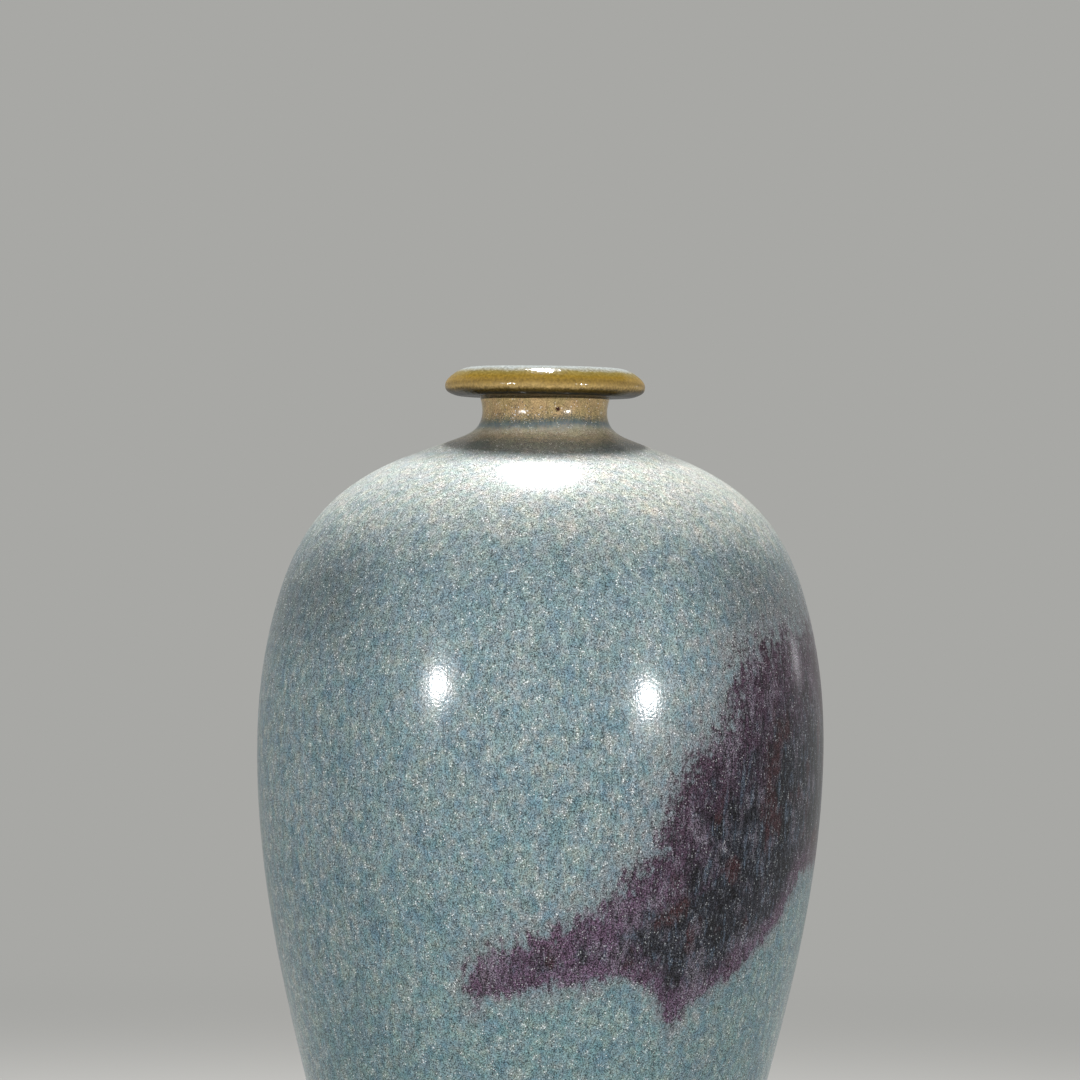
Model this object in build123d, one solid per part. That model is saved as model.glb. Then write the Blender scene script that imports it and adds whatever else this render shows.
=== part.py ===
from build123d import *
import os

# A meiping vase: a tall stoneware flower vessel with a small rolled mouth and high round shoulders.
# It is made as a potter makes it. Five thrown and turned stoneware sections (foot ring, lower body,
# upper body, neck collar, mouth ring) are luted together with clay slip, and four coats of glaze are
# fused over them. Every section, slip seam and coat is a solid of its own. Lengths are in millimetres.
# The vase stands on the plane Z = 0, and Z is its axis.

# Outline of the finished vase, over the glaze
belly_radius = 83.0  # widest place of the body
belly_height = 178.0  # height of the widest place above the floor
waist_inset = 11.7  # how far the lower body has drawn in at the waist
waist_drop = 82.0  # how far the waist lies below the widest place
foot_radius = 46.0  # bare clay at the floor
foot_lean = 12.0  # degrees that the lower body leans out where it leaves the foot
flank_inset = 5.2  # how far the upper body has drawn in at the flank
flank_rise = 42.3  # how far the flank lies above the widest place
shoulder_inset = 15.7  # the same for the turn of the shoulder
shoulder_rise = 65.4
crown_inset = 40.3  # the same for the crown, the gentle slope on top
crown_rise = 84.4
root_spread = 7.2  # how far the root of the neck spreads past the neck
root_rise = 90.7
root_slope = 17.0  # degrees that the crown falls away at the root
neck_radius = 18.3  # narrowest place of the neck
neck_rise = 8.0  # from the root up to the narrowest place
throat_rise = 4.8  # from the narrowest place up to the underside of the mouth ring
throat_flare = 0.9  # how far the neck opens again on that way

# Mouth ring, over the glaze
lip_reach = 11.0  # how far the ring stands out past the neck
lip_height = 8.7  # from its underside to its crest
lip_edge_round = 2.1  # rounding of its lower outer edge
mouth_round = 6.7  # how far its inner side rolls in to the bore

# Clay walls
wall = 5.0  # body
base_wall = 7.0  # body where it meets the floor
neck_wall = 5.1
floor_thickness = 8.0
floor_bend = 17.0  # width of the bend between the floor and the wall inside
bore_rise = 4.4  # from the root of the neck up to where its straight bore starts
dome_spread = 12.3  # how far outside the bore the dome inside starts to turn up into it

# Foot ring
foot_height = 9.0
foot_width = 8.0
foot_bevel = 1.2

# Luted seams
slip = 0.8  # thickness of the slip in a seam
belly_lap = 7.0  # how far the two halves of the body overlap
mouth_lap = 3.6  # how far the neck stands up into the mouth ring
collar_spread = 6.2  # how far past the neck the hole in the upper body reaches that takes the collar

# Glaze coats
glaze_belly = 1.2
glaze_foot = 1.8  # the coat runs down and gathers near the foot
glaze_neck = 0.8
glaze_lip = 0.7
glaze_line = 6.5  # height above the floor where the outer coat ends
glaze_roll = 1.1  # rounding of the coat's lower edge
lining = 0.8  # coat inside the vase
base_coat = 0.5  # coat under the base

INSET_STEPS = 16  # stations that carry a curve over from one face of a wall to the other
HALVINGS = 40  # steps that find a height on a curve
UP = (0, 1)
OUT = (1, 0)

os.makedirs("parts", exist_ok=True)


def turned(section):
    """Turns a section, drawn in radius and height, about the vase's axis."""
    return revolve(Plane.XZ * section, Axis.Z)


def inset(edge, depth_from, depth_to):
    """The points that run beneath an upward outline, at a depth that changes evenly along it."""
    points = []
    for step in range(INSET_STEPS + 1):
        share = step / INSET_STEPS
        along = edge.tangent_at(share)
        inward = Vector(-along.Y, along.X)
        points.append(edge.position_at(share) + inward * (depth_from + (depth_to - depth_from) * share))
    return points


def beneath(edge, depth_from, depth_to):
    """The edge that runs beneath an upward outline, straight where the outline is straight."""
    points = inset(edge, depth_from, depth_to)
    if edge.geom_type == GeomType.LINE:
        return Line(points[0], points[-1])
    return Spline(*points, tangents=(edge.tangent_at(0), edge.tangent_at(1)))


def leaning(degrees):
    """The upward direction that leans out from the axis by an angle."""
    return Vector(*UP).rotate(Axis.Z, -degrees)


def share_where(edge, test):
    """How far along an edge, from 0 to 1, its points begin to pass a test."""
    low, high = 0.0, 1.0
    for _ in range(HALVINGS):
        middle = (low + high) / 2
        if test(edge.position_at(middle)):
            high = middle
        else:
            low = middle
    return high


def above(edge, height):
    """The stretch of an upward edge that lies above a height."""
    return edge.trim(share_where(edge, lambda point: point.Y > height), 1)


# Outer faces of the glaze, from the floor to the underside of the mouth ring
root_height = belly_height + root_rise
neck_height = root_height + neck_rise
lip_bottom = neck_height + throat_rise

foot_way = leaning(foot_lean)
foot_edge = Vector(foot_radius, 0) + Vector(foot_way.Y, -foot_way.X) * glaze_foot
waist = (belly_radius - waist_inset, belly_height - waist_drop)
belly = (belly_radius, belly_height)
flank = (belly_radius - flank_inset, belly_height + flank_rise)
shoulder = (belly_radius - shoulder_inset, belly_height + shoulder_rise)
crown = (belly_radius - crown_inset, belly_height + crown_rise)
root = (neck_radius + root_spread, root_height)
neck = (neck_radius, neck_height)
throat = (neck_radius + throat_flare, lip_bottom)

root_way = leaning(root_slope - 90)
lower_face = Spline(foot_edge, waist, belly, tangents=(foot_way, UP))
upper_face = Spline(belly, flank, shoulder, crown, root, tangents=(UP, root_way))
neck_face = Spline(root, neck, tangents=(root_way, UP))
throat_face = Spline(neck, throat, tangents=(UP, UP))

# Outer faces of the clay, under the glaze
lower_clay = beneath(lower_face, glaze_foot, glaze_belly)
upper_clay = beneath(upper_face, glaze_belly, glaze_neck)
neck_clay = beneath(neck_face, glaze_neck, glaze_neck)
throat_clay = beneath(throat_face, glaze_neck, glaze_neck)
neck_top = throat_clay.position_at(1)

# Heights and radii of the hollow in the bare clay
bore_radius = neck_radius - glaze_neck - neck_wall
bore_start = root_height + bore_rise
bore_end = lip_bottom + lip_edge_round
floor_height = foot_height + floor_thickness


def lip_face(depth, start):
    """The mouth ring's face at a depth under its glaze: out from the neck, over the crest, in to the bore."""
    bottom = lip_bottom + depth
    middle = lip_bottom + lip_edge_round
    edge_radius = neck_radius + lip_reach - depth
    corner = lip_edge_round - depth
    bore = bore_radius - lining + depth * lining / glaze_lip
    crest = bore_radius - lining + mouth_round
    rise = lip_height - lip_edge_round - depth
    return [
        Line(start, (edge_radius - corner, bottom)),
        CenterArc((edge_radius - corner, middle), corner, -90, 90),
        EllipticalCenterArc((crest, middle), edge_radius - crest, rise, 0, arc_size=90),
        EllipticalCenterArc((crest, middle), crest - bore, rise, 90, arc_size=90),
    ]


# Inner faces of the clay, from the axis on the floor up to the end of the bore
wall_inside = above(beneath(lower_clay, base_wall, wall), floor_height + floor_bend)
bend_start = (wall_inside.position_at(0).X - floor_bend, floor_height)
crown_inside = beneath(upper_clay, wall, wall)
dome_share = share_where(crown_inside, lambda point: point.X < bore_radius + dome_spread)
dome_inside = crown_inside.trim(0, dome_share)
hollow = [
    Line((0, floor_height), bend_start),
    Spline(bend_start, wall_inside.position_at(0), tangents=(OUT, wall_inside.tangent_at(0))),
    wall_inside,
    dome_inside,
    Spline(dome_inside.position_at(1), (bore_radius, bore_start), tangents=(dome_inside.tangent_at(1), UP)),
    Line((bore_radius, bore_start), (bore_radius, bore_end)),
]
hollow_lining = [beneath(edge, lining, lining) for edge in hollow]


# Seams, each drawn as a section that reaches past the wall on both sides
def stepped_seam(middle, bottom, lap, reach):
    """A slip seam whose inner half steps up by the lap, so that one piece stands inside the other."""
    return make_face(
        Polyline(
            (middle + reach, bottom),
            (middle + reach, bottom + slip),
            (middle, bottom + slip),
            (middle, bottom + lap + slip),
            (middle - reach, bottom + lap + slip),
            (middle - reach, bottom + lap),
            (middle - slip, bottom + lap),
            (middle - slip, bottom),
            close=True,
        )
    )


def block(inner, outer, bottom, top):
    """A square section between two radii and two heights."""
    return make_face(Polyline((inner, bottom), (outer, bottom), (outer, top), (inner, top), close=True))


def stoneware():
    """Section of the whole clay body, from the foot ring to the mouth ring."""
    lip_start = neck_top + Vector(0, glaze_lip)
    foot_inner = foot_radius - foot_width
    outside = above(lower_clay, foot_bevel)
    foot = Polyline(
        (0, floor_height),
        (0, foot_height),
        (foot_inner, foot_height),
        (foot_inner, foot_bevel),
        (foot_inner + foot_bevel, 0),
        (foot_radius - foot_bevel, 0),
        outside.position_at(0),
    )
    return make_face(
        [
            foot,
            outside,
            upper_clay,
            neck_clay,
            throat_clay,
            Line(neck_top, lip_start),
            *lip_face(glaze_lip, lip_start),
            *hollow,
        ]
    )


def part_at(seam, clay):
    """Cuts a seam through the clay. Gives the piece below it, the slip in it and the piece above it."""
    pieces = (clay - seam).faces().sort_by(Axis.Y)
    return pieces[0], (clay & seam).face(), pieces[-1]


foot_seam = block(0, belly_radius, foot_height - slip, foot_height)
belly_middle = belly_radius - glaze_belly - wall / 2
belly_seam = stepped_seam(belly_middle, belly_height - belly_lap / 2, belly_lap, wall)
collar_radius = neck_radius + collar_spread
collar_seam = block(collar_radius - slip, collar_radius, belly_height, neck_height)
mouth_middle = (bore_radius + neck_top.X + slip) / 2
mouth_seam = stepped_seam(mouth_middle, lip_bottom + glaze_lip - slip, mouth_lap, neck_wall)

foot_ring, foot_slip, body = part_at(foot_seam, stoneware())
lower_body, belly_slip, top = part_at(belly_seam, body)
upper_body, neck_slip, spout = part_at(collar_seam, top)
neck_collar, mouth_slip, mouth_ring = part_at(mouth_seam, spout)


# Glaze coats
def outer_coat():
    """The glaze over the body and the neck. It stops short of the foot in a rolled edge."""
    outside = above(lower_face, glaze_line + glaze_roll)
    inside = above(lower_clay, glaze_line)
    roll = Spline(inside.position_at(0), outside.position_at(0), tangents=(OUT, outside.tangent_at(0)))
    return make_face(
        [
            roll,
            outside,
            upper_face,
            neck_face,
            throat_face,
            Line(throat, neck_top),
            throat_clay,
            neck_clay,
            upper_clay,
            inside,
        ]
    )


def mouth_coat():
    """The thin glaze round the mouth ring, from the neck over the crest to the bore."""
    clay_start = neck_top + Vector(0, glaze_lip)
    return make_face(
        [
            *lip_face(0, neck_top),
            *lip_face(glaze_lip, clay_start),
            Line(neck_top, clay_start),
            Line((bore_radius - lining, bore_end), (bore_radius, bore_end)),
        ]
    )


def inner_coat():
    """The glaze poured inside: floor, wall, dome and the bore of the neck."""
    return make_face(
        [
            *hollow,
            *hollow_lining,
            Line((0, floor_height), (0, floor_height + lining)),
            Line((bore_radius, bore_end), (bore_radius - lining, bore_end)),
        ]
    )


sections = {
    "foot_ring": foot_ring,
    "foot_slip": foot_slip,
    "lower_body": lower_body,
    "belly_slip": belly_slip,
    "upper_body": upper_body,
    "neck_slip": neck_slip,
    "neck_collar": neck_collar,
    "mouth_slip": mouth_slip,
    "mouth_ring": mouth_ring,
    "outer_glaze": outer_coat(),
    "mouth_glaze": mouth_coat(),
    "inner_glaze": inner_coat(),
    "base_glaze": block(0, foot_radius - foot_width, foot_height - base_coat, foot_height),
}

for name, section in sections.items():
    piece = turned(section)
    export_step(piece, f"parts/{name}.step")
    print(f"{name}: {piece.volume / 1000:.1f} cm3")
height = lip_bottom + lip_height
mouth = 2 * (bore_radius - lining)
print(f"height {height:.1f} mm, width {2 * belly_radius:.1f} mm, mouth {mouth:.1f} mm")
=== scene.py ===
# %% [markdown]
# # A speckled blue vase with a purple splash
# The vase arrives as a packed frame: the potter's clay sections, the slip between them and the coats of
# glaze, each a node at its real size. The clay stays as it is, hidden in the wall. This lesson lays
# smooth coats over it, round except for a few drips pulled down in the welt above the foot, and then
# gives every surface its finish.

# %% Load the frame
import math

import bpy
import numpy as np
from mathutils import Matrix, Vector


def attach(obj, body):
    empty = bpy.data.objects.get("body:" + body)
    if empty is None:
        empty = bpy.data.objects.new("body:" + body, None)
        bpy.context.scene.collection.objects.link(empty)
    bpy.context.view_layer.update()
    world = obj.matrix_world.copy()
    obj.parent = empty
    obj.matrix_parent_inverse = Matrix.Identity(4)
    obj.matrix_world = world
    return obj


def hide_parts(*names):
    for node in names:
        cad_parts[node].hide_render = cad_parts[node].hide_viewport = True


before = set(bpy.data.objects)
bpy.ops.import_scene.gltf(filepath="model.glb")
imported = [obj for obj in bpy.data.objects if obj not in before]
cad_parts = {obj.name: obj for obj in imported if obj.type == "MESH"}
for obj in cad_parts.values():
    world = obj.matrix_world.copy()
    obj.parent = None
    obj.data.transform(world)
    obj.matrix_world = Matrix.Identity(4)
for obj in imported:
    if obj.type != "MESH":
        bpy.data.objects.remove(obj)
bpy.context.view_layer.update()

MM = 0.001


# %% [markdown]
# ## The camera
# The photograph was taken with a long, level lens at the height of the shoulder, tipped to one side by
# less than a degree, so the mouth is seen slightly from below and its opening doesn't show. The vase's
# own size gives the scale: so many millimetres to a pixel at its axis. An operator works on everything
# that is selected, so this step, like each one after it, starts with nothing selected.

# %% Set up the camera
PHOTO_PIXELS = 1080
MM_PER_PIXEL = 0.2934
EYE_DISTANCE = 1652.0
EYE_ROLL = 0.75
AIM = Vector((-0.9, 0.0, 239.2))
SENSOR = 36.0
FAR_CLIP = 50000.0


def start_fresh():
    """Leaves edit mode and leaves nothing selected."""
    if bpy.context.object and bpy.context.object.mode != "OBJECT":
        bpy.ops.object.mode_set(mode="OBJECT")
    bpy.ops.object.select_all(action="DESELECT")


turn = Matrix.Rotation(math.radians(90), 3, "X") @ Matrix.Rotation(math.radians(EYE_ROLL), 3, "Z")
start_fresh()
bpy.ops.object.camera_add(location=(AIM + Vector((0, -EYE_DISTANCE, 0))) * MM, rotation=turn.to_euler())
camera = bpy.context.object
camera.data.sensor_width = SENSOR
camera.data.lens = SENSOR * EYE_DISTANCE / (MM_PER_PIXEL * PHOTO_PIXELS)
camera.data.clip_end = FAR_CLIP * MM
bpy.context.scene.camera = camera
print("lens", round(camera.data.lens, 1), "mm")

# %% [markdown]
# ## Hands for the modelling
# A vase is a turned shape: half of its outline, drawn as a smooth curve and spun round the axis, is all
# of it. The curve could be a row of single points, but a Bezier curve needs few of them. Automatic
# handles do for most outlines. They leave flat spots between uneven points, though, and a lamp's
# reflection shows those on the body, so there the handles are set so that the bend runs on evenly, as a
# thin strip of wood bends round pins.

# %% Bend a curve evenly
def spring(line, outline):
    """Sets a curve's handles so that its bend runs on evenly through each point and ends straight."""
    points = np.array([(radius, height) for radius, height, corner in outline])
    gaps = np.linalg.norm(np.diff(points, axis=0), axis=1)
    last = len(gaps)
    pulls = np.zeros((last + 1, last + 1))
    goals = np.zeros((last + 1, 2))
    pulls[0, :2] = (2, 1)
    goals[0] = 3 * (points[1] - points[0]) / gaps[0]
    pulls[last, -2:] = (1, 2)
    goals[last] = 3 * (points[last] - points[last - 1]) / gaps[last - 1]
    for i in range(1, last):
        before, after = gaps[i - 1], gaps[i]
        pulls[i, i - 1:i + 2] = (1 / before, 2 / before + 2 / after, 1 / after)
        goals[i] = 3 * (points[i] - points[i - 1]) / before**2 + 3 * (points[i + 1] - points[i]) / after**2
    ways = np.linalg.solve(pulls, goals)
    for i, point in enumerate(line.bezier_points):
        back = points[i] - ways[i] * gaps[max(i - 1, 0)] / 3
        ahead = points[i] + ways[i] * gaps[min(i, last - 1)] / 3
        point.handle_left_type = "FREE"
        point.handle_right_type = "FREE"
        point.handle_left = Vector((back[0], 0, back[1])) * MM
        point.handle_right = Vector((ahead[0], 0, ahead[1])) * MM


print("each handle reaches about a third of the way to the next point")

# %% Draw half an outline and spin it
SPIN_STEPS = 192
MERGE_GAP = 0.02


def looks_inwards(skin):
    """Whether a turned skin's faces look at its axis more than away from it."""
    normals = np.array([face.normal for face in skin.data.polygons])
    middles = np.array([face.center for face in skin.data.polygons])
    return float((normals[:, :2] * middles[:, :2]).sum()) < 0


def spun(name, outline, rows, steps=SPIN_STEPS, closed=False, springy=False):
    """A turned skin. The outline is a list of (radius, height, corner) in mm, and a corner stays sharp."""
    start_fresh()
    bpy.ops.curve.primitive_bezier_curve_add()
    skin = bpy.context.object
    skin.name = name
    skin.data.resolution_u = rows
    line = skin.data.splines[0]
    line.bezier_points.add(len(outline) - len(line.bezier_points))
    line.use_cyclic_u = closed
    for point, (radius, height, corner) in zip(line.bezier_points, outline):
        point.co = (radius * MM, 0, height * MM)
        point.handle_left_type = "VECTOR" if corner else "AUTO"
        point.handle_right_type = "VECTOR" if corner else "AUTO"
    if springy:
        spring(line, outline)
    bpy.ops.object.convert(target="MESH")
    skin.data.name = name
    bpy.ops.object.mode_set(mode="EDIT")
    bpy.ops.mesh.select_all(action="SELECT")
    bpy.ops.mesh.spin(steps=steps, angle=math.tau, center=(0, 0, 0), axis=(0, 0, 1))
    bpy.ops.mesh.select_all(action="SELECT")
    bpy.ops.mesh.remove_doubles(threshold=MERGE_GAP * MM)
    bpy.ops.mesh.normals_make_consistent(inside=False)
    bpy.ops.object.mode_set(mode="OBJECT")
    if looks_inwards(skin):
        bpy.ops.object.mode_set(mode="EDIT")
        bpy.ops.mesh.flip_normals()
        bpy.ops.object.mode_set(mode="OBJECT")
    bpy.ops.object.shade_smooth()
    return skin


print("a coat is spun in steps of", round(360 / SPIN_STEPS, 2), "degrees")

# %% [markdown]
# ## The blue-green coat
# The outer glaze is a millimetre or two of glass over the clay. It thins over the neck, runs down and
# gathers in a rolled welt above the bare foot. Its outline is spun, and then the welt is pulled down in
# a few places, so that it hangs in slow drips. Pulling with proportional editing moves a point and
# takes its neighbours along, as a drip does.

# %% Spin the outer coat
WELT_RADIUS = 48.9
WELT_HEIGHT = 5.9
sky_outline = [
    (47.6, 7.4, True),
    (WELT_RADIUS, WELT_HEIGHT, False),
    (50.4, 8.3, False),
    (51.0, 13.5, False),
    (57.2, 40.0, False),
    (64.8, 70.0, False),
    (71.3, 96.0, False),
    (79.5, 136.0, False),
    (83.0, 178.0, False),
    (81.9, 199.0, False),
    (78.6, 217.0, False),
    (72.5, 234.8, False),
    (67.3, 243.6, False),
    (60.8, 250.9, False),
    (52.7, 257.0, False),
    (43.2, 262.0, False),
    (25.5, 268.7, False),
    (19.6, 272.4, False),
    (18.3, 276.7, False),
    (19.2, 281.6, True),
]
sky_coat = spun("sky_glaze_coat", sky_outline, rows=10, springy=True)
print("outer skin:", len(sky_coat.data.vertices), "points")

# %% Pull the welt into drips
# Each drip is (degrees round the foot, size in mm). It swells by a share of its size, and what its size
# has over the slack hangs down.
WELT_DRIPS = [
    (8, 2.2), (51, 1.0), (83, 2.8), (130, 1.4), (171, 2.4),
    (204, 1.0), (236, 3.0), (281, 1.6), (322, 2.0),
]
DRIP_REACH = 13.0
DRIP_SWELL = 0.2
DRIP_SLACK = 1.0


def pull(skin, centre, way, reach):
    """Pulls the skin at a point, and what lies within reach of it less and less. All in mm."""
    start_fresh()
    skin.select_set(True)
    bpy.context.view_layer.objects.active = skin
    places = np.empty(3 * len(skin.data.vertices))
    skin.data.vertices.foreach_get("co", places)
    nearest = int(np.argmin(((places.reshape(-1, 3) - np.array(centre) * MM) ** 2).sum(1)))
    bpy.ops.object.mode_set(mode="EDIT")
    bpy.ops.mesh.select_all(action="DESELECT")
    bpy.ops.object.mode_set(mode="OBJECT")
    skin.data.vertices[nearest].select = True
    bpy.ops.object.mode_set(mode="EDIT")
    bpy.ops.transform.translate(
        value=Vector(way) * MM,
        use_proportional_edit=True,
        proportional_edit_falloff="SMOOTH",
        proportional_size=reach * MM,
    )
    bpy.ops.object.mode_set(mode="OBJECT")


for azimuth, size in WELT_DRIPS:
    side = Matrix.Rotation(math.radians(azimuth), 3, "Z") @ Vector((WELT_RADIUS, 0, WELT_HEIGHT))
    way = side.normalized() * DRIP_SWELL * size + Vector((0, 0, DRIP_SLACK - size))
    pull(sky_coat, side, way, DRIP_REACH)
print(len(WELT_DRIPS), "drips pulled")

# %% [markdown]
# ## The splash, laid out on the unrolled wall
# The purple splash is copper brushed on the raw glaze. It melted into it, so it has colour and no edge
# to feel, and it ran: its upper edge is soft, and its lower edge is crisp and ends in drips. Its
# outline is drawn in degrees round the vase and millimetres of height, with how soft the edge
# is at each point. Every point of the mesh then keeps how deep inside that outline it lies, as an
# attribute that the finish can read.

# %% Store the depth inside the splash
splash_outline = [
    (-16, 120, 1.6), (-13, 122, 2.4), (-3, 128, 2.4), (4, 133, 2.4), (10, 136, 2.6), (14, 141, 2.8),
    (17, 146, 3.0), (22, 153, 3.2), (25, 168, 3.4), (29, 180, 3.6), (38, 189, 4.0), (41, 204, 4.2),
    (48, 211, 4.4), (64, 216, 4.6), (82, 218, 4.6), (100, 212, 4.6), (116, 196, 4.4), (124, 176, 3.6),
    (121, 160, 2.4), (113, 151, 1.6), (109, 133, 1.0), (104, 148, 1.3), (92, 141, 1.3), (81, 145, 1.3),
    (70, 145, 1.3), (61, 130, 1.1), (53, 122, 1.2), (47, 116, 1.2), (41, 112, 1.2), (34, 106, 1.1),
    (31, 100, 1.0), (28, 106, 1.1), (25, 113, 1.3), (18, 116, 1.6), (11, 114, 1.6), (4, 113, 1.6),
    (-3, 111, 1.5), (-9, 111, 1.4), (-12, 110, 1.2), (-14, 105, 1.0), (-15.5, 112, 1.2),
]


def splash_depth(places):
    """How deep each place lies inside the splash, in softnesses of its nearest edge. Outside is below 0."""
    degree = np.radians(np.hypot(places[:, 0], places[:, 1]) / MM)
    azimuth = np.degrees(np.arctan2(places[:, 0], -places[:, 1]))
    height = places[:, 2] / MM
    best = np.full(len(places), np.inf)
    soft = np.ones(len(places))
    inside = np.zeros(len(places), bool)
    for start, end in zip(splash_outline, splash_outline[1:] + splash_outline[:1]):
        start_angle, start_height, start_soft = start
        end_angle, end_height, end_soft = end
        along_x, along_z = (end_angle - start_angle) * degree, end_height - start_height
        from_x, from_z = (azimuth - start_angle) * degree, height - start_height
        share = np.clip((from_x * along_x + from_z * along_z) / (along_x**2 + along_z**2), 0, 1)
        gap = np.hypot(from_x - share * along_x, from_z - share * along_z)
        nearer = gap < best
        best[nearer] = gap[nearer]
        soft[nearer] = (start_soft + (end_soft - start_soft) * share)[nearer]
        if start_height != end_height:
            crossing = start_angle + from_z / along_z * (end_angle - start_angle)
            inside ^= ((start_height > height) != (end_height > height)) & (azimuth < crossing)
    return np.where(inside, best, -best) / soft


places = np.empty(3 * len(sky_coat.data.vertices))
sky_coat.data.vertices.foreach_get("co", places)
depths = splash_depth(places.reshape(-1, 3)).astype(np.float32)
sky_coat.data.attributes.new("splash", "FLOAT", "POINT").data.foreach_set("value", depths)
print("splash covers", round(100 * float((depths > 0).mean()), 1), "% of the points")

# %% Give the coat its thickness
SKY_THICKNESS = 1.05
INWARDS = -1
OUTWARDS = 1


def thicken(skin, thickness, side):
    """Makes a skin a closed coat, which grows inwards or outwards from its face."""
    start_fresh()
    skin.select_set(True)
    bpy.context.view_layer.objects.active = skin
    wall = skin.modifiers.new("wall", "SOLIDIFY")
    wall.thickness = thickness * MM
    wall.offset = side
    wall.use_even_offset = True
    bpy.ops.object.modifier_apply(modifier=wall.name)


thicken(sky_coat, SKY_THICKNESS, INWARDS)
print("outer coat:", len(sky_coat.data.vertices), "points")

# %% [markdown]
# ## A small vocabulary for finishes
# A finish is a little network of nodes. These helpers add a node and link or set its sockets in one
# line, so that each finish below reads as a recipe: a place, some noise at a real size, and colours
# blended by it.

# %% Helpers for the node networks
def ink(red, green, blue):
    """A colour as it is read off a screen, 0 to 255, turned into the linear light that a shader needs."""
    channels = [c / 255 for c in (red, green, blue)]
    linear = [c / 12.92 if c <= 0.04045 else ((c + 0.055) / 1.055) ** 2.4 for c in channels]
    return (*linear, 1.0)


class Network:
    """A material and the nodes that it is made of."""

    def __init__(self, name):
        self.material = bpy.data.materials.new(name)
        self.material.use_nodes = True
        self.tree = self.material.node_tree
        self.shader = self.tree.nodes["Principled BSDF"]
        self.spot = self.add("ShaderNodeTexCoord").outputs["Object"]

    def add(self, kind, inputs=None, **settings):
        """A new node, with its settings and with its inputs set or linked."""
        node = self.tree.nodes.new(kind)
        for name, value in settings.items():
            setattr(node, name, value)
        for name, value in (inputs or {}).items():
            self.put(node.inputs[name], value)
        return node

    def put(self, socket, value):
        """Links a socket to another one, or sets it to a plain value."""
        if isinstance(value, bpy.types.NodeSocket):
            self.tree.links.new(value, socket)
        else:
            socket.default_value = value

    def set(self, **values):
        """Sets the shader's own sockets."""
        for name, value in values.items():
            self.put(self.shader.inputs[name.replace("_", " ")], value)


print("half of full white on a screen is", round(ink(128, 128, 128)[0], 2), "of its light")

# %% Words for the recipes
# A Mix node has its sockets once for each kind of value, under the same names, so the ones for colours
# are known by their places.
MIX_FIRST = 6
MIX_SECOND = 7
MIX_RESULT = 2
NOISE_MIDDLE = 0.5


class Finish(Network):
    """A material with words for its patterns, sums and colours."""

    def space(self, stretch=1.0):
        """Places in mm, with heights drawn out by a stretch."""
        scale = (1 / MM, 1 / MM, 1 / MM / stretch)
        return self.add("ShaderNodeMapping", {"Vector": self.spot, "Scale": scale}).outputs["Vector"]

    def noise(self, size, stretch=1.0, detail=2.0, roughness=0.5):
        """Cloudy noise, 0 to 1, whose blotches are about a size in mm."""
        inputs = {"Vector": self.space(stretch), "Scale": 1 / size, "Detail": detail, "Roughness": roughness}
        return self.add("ShaderNodeTexNoise", inputs).outputs["Fac"]

    def dots(self, size):
        """Distance to the nearest of many scattered points, and a random grey for each point."""
        node = self.add("ShaderNodeTexVoronoi", {"Vector": self.space(), "Scale": 1 / size})
        return node.outputs["Distance"], node.outputs["Color"]

    def along(self, axis):
        """How far along X, Y or Z a place lies, in mm."""
        return self.add("ShaderNodeSeparateXYZ", {"Vector": self.space()}).outputs[axis]

    def sums(self, how, first, second=0.0):
        """What a Math node makes of one value or two."""
        node = self.add("ShaderNodeMath", operation=how)
        self.put(node.inputs[0], first)
        self.put(node.inputs[1], second)
        return node.outputs[0]

    def plus(self, first, second):
        return self.sums("ADD", first, second)

    def minus(self, first, second):
        return self.sums("SUBTRACT", first, second)

    def times(self, first, second):
        return self.sums("MULTIPLY", first, second)

    def sway(self, value, noise, amount):
        """A value that wanders up and down by an amount, after a noise."""
        return self.plus(value, self.times(self.minus(noise, NOISE_MIDDLE), 2 * amount))

    def rise(self, value, low, high):
        """0 at low, 1 at high, and a smooth rise between them. Low may be the larger of the two."""
        inputs = {"Value": value, "From Min": low, "From Max": high}
        return self.add("ShaderNodeMapRange", inputs, interpolation_type="SMOOTHSTEP").outputs["Result"]

    def blend(self, share, first, second, how="MIX"):
        """The first colour, with a share of the second one mixed in."""
        node = self.add("ShaderNodeMix", data_type="RGBA", blend_type=how)
        self.put(node.inputs[0], share)
        self.put(node.inputs[MIX_FIRST], first)
        self.put(node.inputs[MIX_SECOND], second)
        return node.outputs[MIX_RESULT]

    def veil(self, ground, colour, mask, most):
        """A ground with a colour over it after a mask, which hides at most a share of it."""
        return self.blend(self.times(mask, most), ground, colour)

    def ramp(self, value, stops):
        """Colours along a value, from stops of (value, colour)."""
        node = self.add("ShaderNodeValToRGB", {"Fac": value})
        colours = node.color_ramp.elements
        while len(colours) < len(stops):
            colours.new(0.5)
        for stop, (at, colour) in zip(colours, stops):
            stop.position = at
            stop.color = colour
        return node.outputs["Color"]

    def bands(self, height, low, high, stops):
        """Colours from a low to a high place, from stops of (height, colour), all heights in mm."""
        share = self.add("ShaderNodeMapRange", {"Value": height, "From Min": low, "From Max": high})
        places = [((at - low) / (high - low), colour) for at, colour in stops]
        return self.ramp(share.outputs["Result"], places)

    def bump(self, height, depth):
        """A bumped normal from a height of 0 to 1 that stands for a depth in mm."""
        return self.add("ShaderNodeBump", {"Height": height, "Distance": depth * MM}).outputs["Normal"]


print("words for the recipes:", [word for word in vars(Finish) if not word.startswith("_")])
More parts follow.
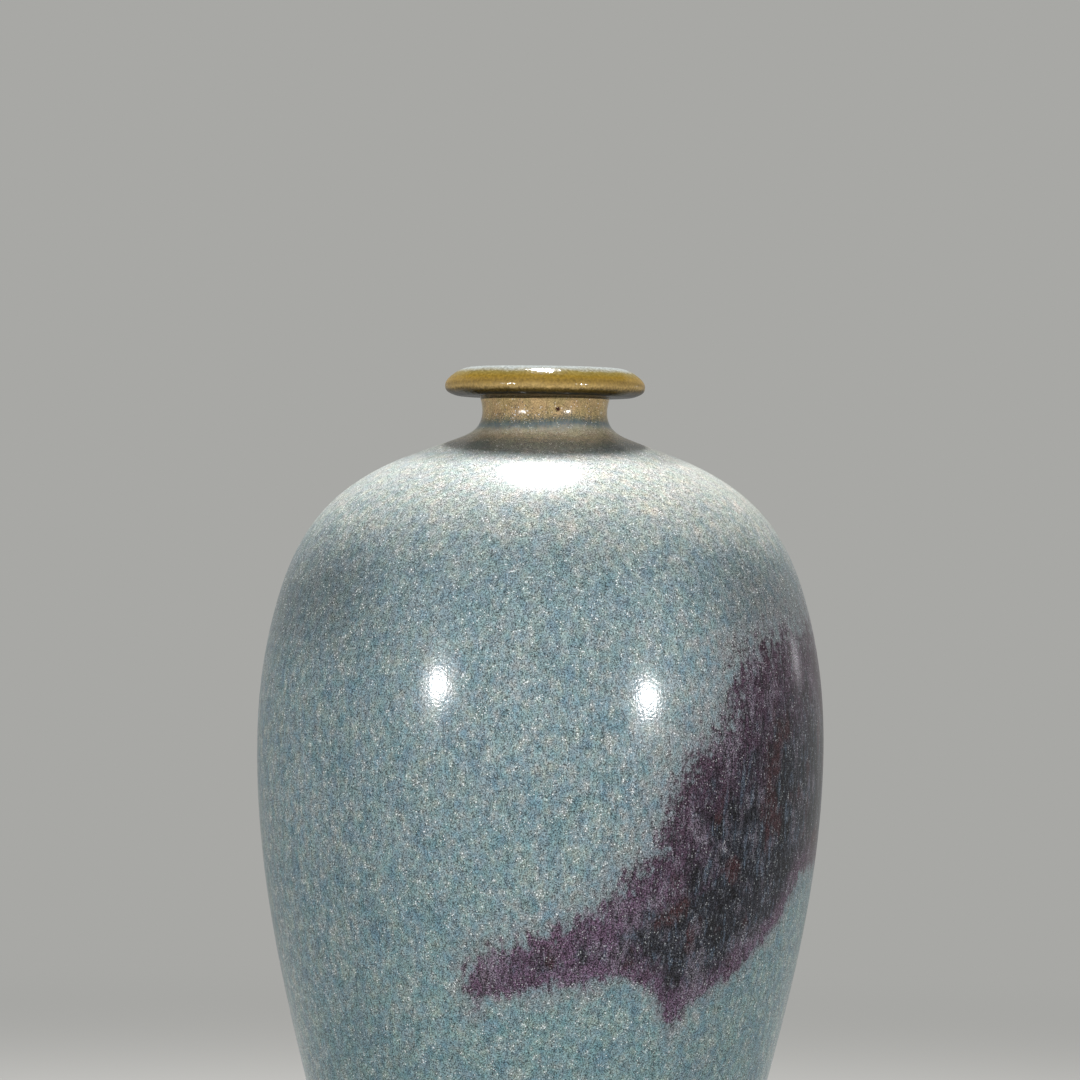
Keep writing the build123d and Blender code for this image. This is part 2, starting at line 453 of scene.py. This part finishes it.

# %% [markdown]
# ## The speckled blue-green glaze
# The glaze is a thick opaque glass, full of tiny crystals, and it never mixed evenly: bluer, greener,
# rosier and sandier spots of a few millimetres lie side by side like the fibres of felt. Where it ran
# down the steep walls it drew darker threads. A wide noise makes clouds, middling ones the grey-blue
# patches and the spots, and one with its heights drawn out the threads. The glaze is deeper in colour
# low down, where it is thick. High up, its left and right sides are painted darker, as shade.

# %% Colours of the blue-green ground
TEAL = ink(125, 143, 146)
LOW_TEAL = ink(123, 148, 150)
CLOUD = ink(142, 157, 159)
GREY_BLUE = ink(116, 136, 144)
PAINTED_SIDE_SHADE = ink(98, 108, 110)
THREAD = ink(92, 111, 119)
TEAL_HEIGHTS = (70.0, 190.0)
PAINTED_SIDE_SHADE_HEIGHTS = (196.0, 224.0)
PAINTED_SIDE_SHADE_ASIDE = (34.0, 66.0)


def blue_green_ground(finish, height, run, clump):
    """The ground of the glaze, with painted shade on its sides high up, before its spots and its grain."""
    ground = finish.blend(finish.rise(height, *TEAL_HEIGHTS), LOW_TEAL, TEAL)
    cloud = finish.noise(42.0)
    ground = finish.veil(ground, CLOUD, finish.rise(cloud, 0.42, 0.66), most=0.4)
    ground = finish.veil(ground, GREY_BLUE, finish.rise(clump, 0.52, 0.32), most=0.5)
    # Painted shade: high up, the vase's left and right sides are darkened towards a dull grey-blue.
    side_shade = finish.rise(finish.sums("ABSOLUTE", finish.along("X")), *PAINTED_SIDE_SHADE_ASIDE)
    high = finish.rise(height, *PAINTED_SIDE_SHADE_HEIGHTS)
    ground = finish.veil(ground, PAINTED_SIDE_SHADE, finish.times(side_shade, high), most=0.78)
    return finish.veil(ground, THREAD, finish.rise(run, 0.50, 0.70), most=0.5)


print("teal in linear light:", [round(c, 3) for c in TEAL[:3]])

# %% Tints of the spots
BLUER = (0.74, 0.88, 0.95, 1.0)
SANDIER = (1.34, 1.13, 1.02, 1.0)
GREENER = (0.98, 1.01, 0.97, 1.0)
ROSIER = (1.02, 0.99, 1.03, 1.0)
SHOULDER_HEIGHTS = (185.0, 235.0)
NECK_HEIGHTS = (263.0, 272.0)
THIN_LOSS = 0.36


def spotted(finish, colour, mottle, clump, height):
    """A colour with bluer, sandier, greener and rosier spots on it, fainter where the coat is thin."""
    leaf = finish.noise(3.2, stretch=1.4)
    tint = finish.blend(finish.rise(leaf, 0.36, 0.64), ROSIER, GREENER)
    colour = finish.blend(1.0, colour, tint, "MULTIPLY")
    spots = finish.sway(mottle, clump, 0.30)
    thin = finish.plus(finish.rise(height, *SHOULDER_HEIGHTS), finish.rise(height, *NECK_HEIGHTS))
    share = finish.minus(1.0, finish.times(thin, THIN_LOSS))
    cool = finish.times(finish.rise(spots, 0.52, 0.26), share)
    warm = finish.times(finish.rise(spots, 0.48, 0.74), share)
    return finish.blend(warm, finish.blend(cool, colour, BLUER, "MULTIPLY"), SANDIER, "MULTIPLY")


print("a sandy spot is", round(SANDIER[0] / BLUER[0], 2), "times as red as a blue one")

# %% [markdown]
# ## Where the glaze runs thin
# High on the vase the glaze has drained away: the crown is creamier, and more so on its right, a blue
# line and a beige one ring the root of the neck, and the neck itself is tan where the clay shows
# through. A ramp along the height gives these zones, and noise lets their edges wander. A single spot
# of iron has come through on the neck.

# %% Colours of the crown and the neck
CROWN_LOW = 222.0
NECK_HIGH = 282.0
ZONES = [
    (222.0, ink(123, 141, 142)),
    (240.0, ink(146, 156, 153)),
    (250.0, ink(154, 161, 157)),
    (261.0, ink(169, 175, 171)),
    # The stops at 264 and 267 mm lie where the mouth's shadow falls; their darker grey-blue is partly glaze
    # colour and partly painted shade.
    (264.0, ink(120, 126, 124)),
    (267.0, ink(114, 116, 108)),
    (269.5, ink(160, 147, 121)),
    (271.5, ink(174, 167, 145)),
    (273.0, ink(88, 105, 112)),
    (274.3, ink(112, 107, 88)),
    (276.2, ink(158, 136, 98)),
    (281.0, ink(166, 143, 101)),
]
CROWN_EDGE = (226.0, 254.0)
CROWN_WANDER = 15.0
CREAM_WASH = ink(190, 184, 168)
CREAM_ASIDE = (-10.0, 50.0)
CREAM_TOP = (266.0, 262.0)
RUST = ink(54, 32, 22)
IRON_SPOT = Vector((3.8, -18.0, 277.3))
IRON_EDGE = (0.95, 0.45)
IRON_WANDER = 0.5


def drained(finish, ground, height, clump, grain):
    """The ground with the crown, the rings and the neck on it."""
    zones = finish.bands(height, CROWN_LOW, NECK_HIGH, ZONES)
    right = finish.times(finish.rise(finish.along("X"), *CREAM_ASIDE), finish.rise(height, *CREAM_TOP))
    zones = finish.veil(zones, CREAM_WASH, right, most=0.2)
    crown = finish.rise(finish.sway(height, clump, CROWN_WANDER), *CROWN_EDGE)
    colour = finish.blend(crown, ground, zones)
    gap = finish.add("ShaderNodeVectorMath", {0: finish.space(), 1: IRON_SPOT}, operation="DISTANCE")
    near = finish.rise(finish.sway(gap.outputs["Value"], grain, IRON_WANDER), *IRON_EDGE)
    return finish.blend(near, colour, RUST)


print(len(ZONES), "colours over the top", NECK_HIGH - CROWN_LOW, "mm of the coat")

# %% [markdown]
# ## The copper splash
# Copper turns plum at the rim of the splash and slate blue to black where it is thick, with clouds of
# lilac where it is thin. Long threads run down through it, some blue and some black, rusty patches lie
# in its core, and short silvery fibres lie over all of it. The stored depth gives the rim and the core.
# The spots of the glaze fray the edge, and a greyish bloom lies just outside it.

# %% Colours of the splash
PLUM = ink(64, 45, 60)
LOW_PLUM = ink(90, 69, 89)
LILAC = ink(119, 111, 122)
SILVER = ink(132, 136, 143)
BLOOM = ink(128, 126, 128)
SLATE = ink(36, 36, 44)
NIGHT = ink(18, 14, 19)
OXBLOOD = ink(62, 29, 31)
THREAD_BLUE = ink(76, 88, 102)
PLUM_HEIGHTS = (122.0, 165.0)


def gathered(finish, mask, core, on_rim):
    """A mask that is strong in the splash's core and keeps only a share of itself on the rim."""
    return finish.times(mask, finish.plus(core, on_rim))


def splashed(finish, ground, mottle, run, clump):
    """The copper over the ground, and how far it covers it."""
    depth = finish.add("ShaderNodeAttribute", attribute_name="splash").outputs["Fac"]
    frayed = finish.sway(finish.sway(finish.sway(depth, clump, 1.8), mottle, 3.6), run, 1.0)
    ground = finish.veil(ground, BLOOM, finish.rise(frayed, -4.5, 0.5), most=0.5)
    core = finish.rise(finish.sway(depth, clump, 6.0), 2.0, 8.0)
    rim = finish.blend(finish.rise(finish.along("Z"), *PLUM_HEIGHTS), LOW_PLUM, PLUM)
    copper = finish.blend(core, rim, SLATE)
    pool = finish.noise(8.0, stretch=1.8, detail=4.0, roughness=0.7)
    copper = finish.veil(copper, LILAC, finish.rise(pool, 0.49, 0.36), most=0.46)
    dark = gathered(finish, finish.rise(pool, 0.50, 0.62), core, on_rim=0.25)
    copper = finish.veil(copper, NIGHT, dark, most=0.8)
    streak = finish.noise(1.4, stretch=6.0, detail=3.0, roughness=0.65)
    blue = gathered(finish, finish.rise(streak, 0.47, 0.34), core, on_rim=0.2)
    copper = finish.veil(copper, THREAD_BLUE, blue, most=0.6)
    copper = finish.veil(copper, NIGHT, finish.rise(streak, 0.51, 0.64), most=0.68)
    stain = finish.noise(9.0, stretch=2.0, detail=3.0, roughness=0.6)
    rusty = gathered(finish, finish.rise(stain, 0.52, 0.64), core, on_rim=0.15)
    copper = finish.veil(copper, OXBLOOD, rusty, most=0.6)
    fibre = finish.noise(0.8, stretch=3.0, roughness=0.6)
    copper = finish.veil(copper, SILVER, finish.rise(fibre, 0.52, 0.72), most=0.34)
    cover = finish.rise(frayed, -0.8, 1.8)
    return finish.veil(ground, copper, cover, most=0.96), cover


print("plum in linear light:", [round(c, 3) for c in PLUM[:3]])

# %% [markdown]
# ## The grain over all of it
# Seen close, the whole coat is a grain of darker and paler crystals, with dark pits in it and sparkles
# that gather on the sandy spots. The sparkles are painted near-white into the colour, partly as pale
# crystals and partly as painted glints. The sparkles and a fine unevenness lift the glassy top of the
# coat by hundredths of a millimetre, so a lamp's reflection has a clear middle and a ragged rim. A
# faint, duller gloss below that top spreads a soft halo round it.

# %% Break the glaze up into grain
CRYSTAL_AND_GLINT_FLECK = ink(246, 251, 252)
PIT = ink(60, 68, 76)
GRAIN_CONTRAST = 5.2
SPLASH_CONTRAST = 4.6
NECK_CONTRAST = 2.8
FELT_CONTRAST = 0.45
DARKEST = 0.15
SPARKLE_REACH = 0.41
SPLASH_SPARKLE_LOSS = 0.55
NECK_SPARKLE_LOSS = 0.5


def grained(finish, colour, grain, mottle, cover, thin):
    """A colour broken up into pits and crystals, less so on a thin coat, and where its sparkles are."""
    felt = finish.noise(1.4, stretch=1.6)
    contrast = finish.plus(finish.times(cover, SPLASH_CONTRAST), GRAIN_CONTRAST)
    contrast = finish.minus(contrast, finish.times(thin, NECK_CONTRAST))
    light = finish.plus(finish.times(finish.minus(grain, NOISE_MIDDLE), contrast), 1.0)
    light = finish.sums("MAXIMUM", finish.sway(light, felt, FELT_CONTRAST), DARKEST)
    colour = finish.blend(1.0, colour, light, "MULTIPLY")
    gap, shade = finish.dots(1.7)
    pit = finish.times(finish.rise(gap, 0.18, 0.08), finish.rise(shade, 0.3, 0.5))
    colour = finish.veil(colour, PIT, pit, most=0.75)
    gap, shade = finish.dots(0.52)
    reach = finish.times(finish.rise(finish.sway(shade, mottle, 0.7), 0.47, 1.07), SPARKLE_REACH)
    sparkle = finish.rise(finish.minus(gap, reach), 0.03, -0.08)
    strength = finish.minus(1.0, finish.times(cover, SPLASH_SPARKLE_LOSS))
    strength = finish.minus(strength, finish.times(thin, NECK_SPARKLE_LOSS))
    # Painted glints: the sparkles blend the colour towards near-white, partly pale crystals and partly
    # painted highlights.
    return finish.blend(finish.times(sparkle, strength), colour, CRYSTAL_AND_GLINT_FLECK), sparkle


print("grain is", round(1 + SPLASH_CONTRAST / GRAIN_CONTRAST, 1), "times as strong in the splash")

# %% Mix the outer glaze
def sky_glaze():
    """The outer coat's glaze, with its ground, thin places, spots, splash and grain."""
    finish = Finish("sky_glaze")
    grain = finish.noise(0.33, stretch=1.15, roughness=0.6)
    mottle = finish.noise(2.2, stretch=1.4, detail=2.5, roughness=0.6)
    run = finish.noise(1.2, stretch=7.0, roughness=0.55)
    clump = finish.noise(5.5, stretch=1.4, detail=3.0, roughness=0.6)
    wander = finish.noise(14.0)
    height = finish.sway(finish.sway(finish.along("Z"), wander, 1.6), grain, 2.6)
    thin = finish.rise(height, *NECK_HEIGHTS)
    colour = blue_green_ground(finish, height, run, clump)
    colour = drained(finish, colour, height, clump, grain)
    colour = spotted(finish, colour, mottle, clump, height)
    colour, cover = splashed(finish, colour, mottle, run, clump)
    colour, sparkle = grained(finish, colour, grain, mottle, cover, thin)
    relief = finish.plus(finish.noise(0.8), sparkle)
    finish.set(
        Base_Color=colour,
        Roughness=0.3,
        Specular_IOR_Level=0.06,
        Coat_Weight=0.28,
        Coat_Roughness=0.14,
        Coat_Normal=finish.bump(relief, 0.04),
    )
    return finish.material


def place(piece, node, finish):
    """Lets a piece stand for a CAD node, with its slot and its finish."""
    piece.data.materials.clear()
    piece.data.materials.append(finish)
    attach(piece, "root")
    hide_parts(node)
    print(piece.name, "has", len(piece.data.polygons), "faces")


place(sky_coat, "outer_glaze", sky_glaze())

# %% [markdown]
# ## The mouth
# The mouth is a rolled ring of clay under a thin glaze, so it is olive brown. Its widest edge is a
# lighter tan, partly glaze colour and partly painted light where that edge catches the lamps, and
# below it the ring is painted dark, as shade on its underside. The blue glaze has just caught its
# crest. It is spun as one skin from the neck, round the ring and down into the bore, so no seam shows.

# %% Spin the mouth ring's coat
BORE_RADIUS = 11.6
LIP_THICKNESS = 0.6
lip_outline = [
    (18.5, 281.5, True),
    (27.0, 281.6, False),
    (29.3, 283.7, False),
    (27.2, 287.4, False),
    (19.2, 289.8, False),
    (13.4, 287.9, False),
    (BORE_RADIUS, 283.4, True),
]
lip_coat = spun("lip_glaze_coat", lip_outline, rows=14)
thicken(lip_coat, LIP_THICKNESS, INWARDS)
print("mouth's coat:", len(lip_coat.data.vertices), "points")

# %% Mix the mouth's glaze
LIP_LOW = 281.0
LIP_HIGH = 291.0
LIP_ZONES = [
    # The two lowest stops paint the ring's underside dark, as shade; the stop at 283.8 mm paints its widest
    # edge lighter, partly tan glaze and partly painted light.
    (281.5, ink(18, 14, 5)),
    (282.8, ink(88, 71, 32)),
    (283.8, ink(172, 145, 92)),
    (284.8, ink(152, 125, 68)),
    (286.6, ink(124, 100, 38)),
    (288.0, ink(118, 104, 56)),
    (289.2, ink(148, 153, 151)),
]


def olive_glaze():
    """The mouth's glaze, in bands up the ring, with a glassy, rippled top."""
    finish = Finish("olive_glaze")
    fine = finish.noise(0.7, detail=2.5, roughness=0.62)
    ripple = finish.noise(2.0)
    wander = finish.noise(7.0)
    height = finish.sway(finish.sway(finish.along("Z"), wander, 0.7), fine, 0.5)
    colour = finish.bands(height, LIP_LOW, LIP_HIGH, LIP_ZONES)
    colour = finish.blend(1.0, colour, finish.sway(1.0, fine, 0.85), "MULTIPLY")
    finish.set(
        Base_Color=colour,
        Roughness=0.5,
        Specular_IOR_Level=0.0,
        Coat_Weight=0.5,
        Coat_Roughness=0.12,
        Coat_Normal=finish.bump(ripple, 0.12),
    )
    return finish.material


place(lip_coat, "mouth_glaze", olive_glaze())

# %% [markdown]
# ## Inside
# The inside was glazed by pouring glaze in and out again. Little of it shows, only the bore and, from
# above, a dark round of floor. It is spun like the outside, with the finger marks of throwing as soft
# rings in its finish.

# %% Spin the lining
LINING_THICKNESS = 0.7
FLOOR_HEIGHT = 17.8
lining_outline = [
    (0.0, FLOOR_HEIGHT, True),
    (28.0, FLOOR_HEIGHT, False),
    (41.0, 22.5, False),
    (46.3, 34.2, False),
    (62.9, 96.0, False),
    (73.2, 144.0, False),
    (76.0, 178.0, False),
    (71.3, 218.0, False),
    (60.0, 241.5, False),
    (40.6, 256.0, False),
    (24.5, 262.1, False),
    (14.3, 268.2, False),
    (BORE_RADIUS, 273.1, False),
    (BORE_RADIUS, 283.6, True),
]
lining_coat = spun("lining_glaze_coat", lining_outline, rows=8, steps=128)
thicken(lining_coat, LINING_THICKNESS, OUTWARDS)
print("lining:", len(lining_coat.data.vertices), "points")


# %% Mix the lining's glaze
def lining_glaze():
    """The lining's glaze, greyer than the outside and ringed by finger marks."""
    finish = Finish("lining_glaze")
    fine = finish.noise(1.0, stretch=1.6, detail=2.5, roughness=0.6)
    finger_marks = finish.add(
        "ShaderNodeTexWave",
        {"Vector": finish.space(), "Scale": 0.05, "Distortion": 1.5, "Detail": 1.0},
        bands_direction="Z",
    )
    greys = [(0.30, ink(84, 102, 108)), (0.55, ink(118, 136, 138)), (0.75, ink(160, 160, 146))]
    finish.set(
        Base_Color=finish.ramp(fine, greys),
        Roughness=0.32,
        Coat_Weight=0.5,
        Coat_Roughness=0.1,
        Normal=finish.bump(finger_marks.outputs["Fac"], 0.5),
    )
    return finish.material


place(lining_coat, "inner_glaze", lining_glaze())

# %% [markdown]
# ## The foot
# The potter turned the foot on the wheel when the clay was leather hard. It is bare stoneware, toasted
# brown in the kiln, with fine rings left by the turning tool, rounded edges, and a thin brown wash on
# the base inside it.

# %% Spin the foot ring and the base
FOOT_TOP = 8.3
RECESS_RADIUS = 38.0
WASH_THICKNESS = 0.45
foot_outline = [
    (RECESS_RADIUS, FOOT_TOP, True),
    (RECESS_RADIUS, 2.2, False),
    (38.6, 0.7, False),
    (39.9, 0.0, True),
    (44.0, 0.0, True),
    (45.5, 0.6, False),
    (46.3, 2.0, False),
    (47.8, FOOT_TOP, True),
]
turned_foot = spun("turned_foot", foot_outline, rows=10, closed=True)
base_outline = [(0.0, 8.2, True), (20.0, 8.4, False), (36.0, 8.5, False), (RECESS_RADIUS, 8.5, True)]
base_coat = spun("base_wash_coat", base_outline, rows=16, steps=96)
thicken(base_coat, WASH_THICKNESS, INWARDS)
print("foot:", len(turned_foot.data.vertices), "points, base:", len(base_coat.data.vertices))

# %% Mix the bare clay and the wash
IRON_FLECK = ink(52, 34, 24)


def stoneware():
    """Bare toasted clay with iron flecks and the marks of the turning tool."""
    finish = Finish("stoneware")
    grain = finish.noise(0.6, detail=3.0, roughness=0.65)
    toast = finish.noise(16.0, detail=3.0)
    tool_marks = finish.add(
        "ShaderNodeTexWave",
        {"Vector": finish.space(), "Scale": 0.35, "Distortion": 0.6, "Detail": 2.0},
        wave_type="RINGS",
        rings_direction="Z",
    )
    gap, shade = finish.dots(2.6)
    browns = [(0.30, ink(104, 72, 48)), (0.50, ink(146, 110, 78)), (0.72, ink(178, 146, 110))]
    colour = finish.ramp(finish.sway(grain, toast, 0.3), browns)
    spots = finish.times(finish.rise(gap, 0.22, 0.10), finish.rise(shade, 0.55, 0.7))
    colour = finish.blend(spots, colour, IRON_FLECK)
    relief = finish.plus(grain, finish.times(tool_marks.outputs["Fac"], 0.8))
    finish.set(Base_Color=colour, Roughness=0.82, Normal=finish.bump(relief, 0.12))
    return finish.material


def base_wash():
    """The thin brown wash on the base, darker where it pooled."""
    finish = Finish("base_wash")
    grain = finish.noise(0.9, detail=3.0, roughness=0.6)
    pooled = finish.noise(12.0, detail=3.0)
    browns = [(0.25, ink(46, 32, 22)), (0.55, ink(82, 58, 38)), (0.80, ink(128, 98, 68))]
    colour = finish.ramp(finish.sway(grain, pooled, 0.35), browns)
    finish.set(Base_Color=colour, Roughness=0.55, Normal=finish.bump(grain, 0.08))
    return finish.material


bare_clay = stoneware()
place(turned_foot, "foot_ring", bare_clay)
place(base_coat, "base_glaze", base_wash())

# %% [markdown]
# ## The clay in the wall
# The thrown sections and the slip between them stay as they are, hidden between the coats. They still
# get the bare clay's finish, so that a cut through the vase shows clay.

# %% Finish the hidden clay
hidden = [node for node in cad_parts.values() if not node.hide_render]
for node in hidden:
    node.data.materials.clear()
    node.data.materials.append(bare_clay)
print("clay nodes in the wall:", sorted(node.name for node in hidden))

# %% [markdown]
# ## Floor, light and air
# A plain pale studio: a floor that sweeps up into a wall all round, so that no edge shows from any
# side. One large lamp above and behind the vase lights its shoulders and lets the mouth's shadow fall
# forward on the crown. Two smaller ones stand to the left and right of the camera and leave the two
# bright spots on the glaze. A narrow one stands behind the vase on its right and draws a thin streak
# near that edge.

# %% Sweep the studio floor
FLOOR_RADIUS = 5000.0
sweep_outline = [
    (0.0, 0.0, True),
    (FLOOR_RADIUS * 0.5, 0.0, True),
    (FLOOR_RADIUS * 0.8, 0.0, False),
    (FLOOR_RADIUS * 0.97, FLOOR_RADIUS * 0.14, False),
    (FLOOR_RADIUS, FLOOR_RADIUS * 0.35, False),
    (FLOOR_RADIUS, FLOOR_RADIUS * 0.7, True),
]
studio = spun("studio_sweep", sweep_outline, rows=12, steps=96)
print("studio sweep has", len(studio.data.polygons), "faces")

# %% Paper the studio
PALE_PAPER = ink(178, 177, 174)
DIM_PAPER = ink(64, 64, 63)
PAPER_GLOW = ink(168, 168, 165)
BLACK = (0, 0, 0, 1)
GLOW_REACH = (200.0, 1500.0)


def studio_paper():
    """Paper that looks pale to the camera and in reflections, and throws little light back."""
    finish = Finish("studio_paper")
    path = finish.add("ShaderNodeLightPath").outputs
    seen = finish.plus(path["Is Camera Ray"], path["Is Glossy Ray"])
    seen = finish.plus(seen, path["Is Transmission Ray"])
    reach = finish.add("ShaderNodeVectorMath", {0: finish.space()}, operation="LENGTH").outputs["Value"]
    far = finish.rise(reach, *GLOW_REACH)
    near = finish.blend(seen, DIM_PAPER, PALE_PAPER)
    finish.set(
        Base_Color=finish.blend(far, near, BLACK),
        Roughness=0.9,
        Specular_IOR_Level=0.0,
        Emission_Color=PAPER_GLOW,
        Emission_Strength=finish.times(far, seen),
    )
    return finish.material


studio.data.materials.append(studio_paper())
print("paper glows beyond", GLOW_REACH[0], "mm, and in full beyond", GLOW_REACH[1])

# %% Hang the lamps
WIDE_BEAM = 180
NARROW_BEAM = 60
LOW_STAND = {"distance": 1500, "around": 195, "aim": 220}


def lamp(name, azimuth, elevation, distance, around, aim, size, power, beam=WIDE_BEAM):
    """An area lamp that stands off one height on the axis and faces another.

    Azimuth 0 is the camera's side of the vase, and 90 its right side.
    """
    swing, lift = math.radians(azimuth), math.radians(elevation)
    way = Vector((math.sin(swing) * math.cos(lift), -math.cos(swing) * math.cos(lift), math.sin(lift)))
    stand = Vector((0, 0, around)) + way * distance
    start_fresh()
    bpy.ops.object.light_add(type="AREA", location=stand * MM)
    light = bpy.context.object
    light.name = name
    light.rotation_euler = (stand - Vector((0, 0, aim))).to_track_quat("Z", "Y").to_euler()
    light.data.shape = "ELLIPSE"
    light.data.size = size[0] * MM
    light.data.size_y = size[1] * MM
    light.data.energy = power
    light.data.spread = math.radians(beam)
    light.visible_camera = False
    print(name, "stands at", [round(x) for x in stand])


lamp("top_lamp", 181.5, 63.4, distance=1156, around=262, aim=255, size=(140, 330), power=32.0)
lamp("left_lamp", -41.5, 10.1, **LOW_STAND, size=(104, 20), power=1.6, beam=NARROW_BEAM)
lamp("right_lamp", 42.8, 8.0, **LOW_STAND, size=(118, 24), power=1.6, beam=NARROW_BEAM)
lamp("side_lamp", 129, 6.3, **LOW_STAND, size=(14, 130), power=0.2)

# %% Fill the air
AIR_STRENGTH = 0.03
air = bpy.data.worlds.new("studio_air")
air.use_nodes = True
background = air.node_tree.nodes["Background"]
background.inputs["Color"].default_value = (1, 1, 1, 1)
background.inputs["Strength"].default_value = AIR_STRENGTH
bpy.context.scene.world = air
bpy.context.scene.view_settings.view_transform = "Standard"
print("air gives", AIR_STRENGTH, "of white")
